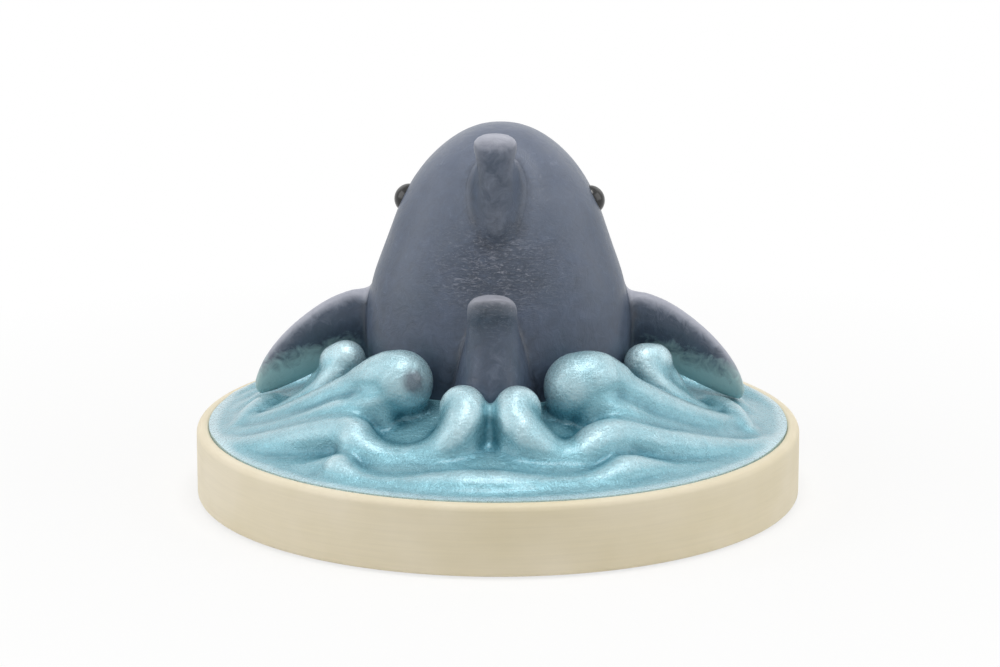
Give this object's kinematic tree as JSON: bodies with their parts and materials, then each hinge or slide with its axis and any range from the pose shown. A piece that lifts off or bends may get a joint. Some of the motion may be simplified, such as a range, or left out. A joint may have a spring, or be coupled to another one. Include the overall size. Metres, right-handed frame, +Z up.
{
  "type": "shark figurine",
  "caption": "Plump shark figurine rising out of a round pool of curling waves, set in a painted disc base; stands on a flat pad.",
  "frame": {"origin": "middle of the underside of the felt pad, on the surface that the figurine stands on", "axes": "+Z up, +Y the way the shark looks, +X towards the viewer's right when the shark is seen from behind as in the picture"},
  "size_m": [0.1, 0.1, 0.0625],
  "materials": {
    "base_paint": "smooth satin cream paint over a turned disc",
    "felt": "pressed felt",
    "steel": "bright zinc",
    "dowel_wood": "bare beech",
    "sea_paint": "pearl blue brushed paint over a resin casting",
    "shark_paint": "satin slate grey brushed paint over a resin casting",
    "eye_gloss": "polished black bead",
    "tooth_white": "satin white"
  },
  "bodies": {
    "root": {"base_disc": "base_paint", "felt_pad": "felt", "fixing_screw": "steel", "screw_washer": "steel", "locating_dowel": "dowel_wood", "sea_casting": "sea_paint", "shark_body": "shark_paint", "dorsal_fin": "shark_paint", "tail_fin": "shark_paint", "left_pectoral_fin": "shark_paint", "right_pectoral_fin": "shark_paint", "left_eye": "eye_gloss", "right_eye": "eye_gloss", "upper_teeth": "tooth_white", "lower_teeth": "tooth_white"}
  },
  "joints": []
}
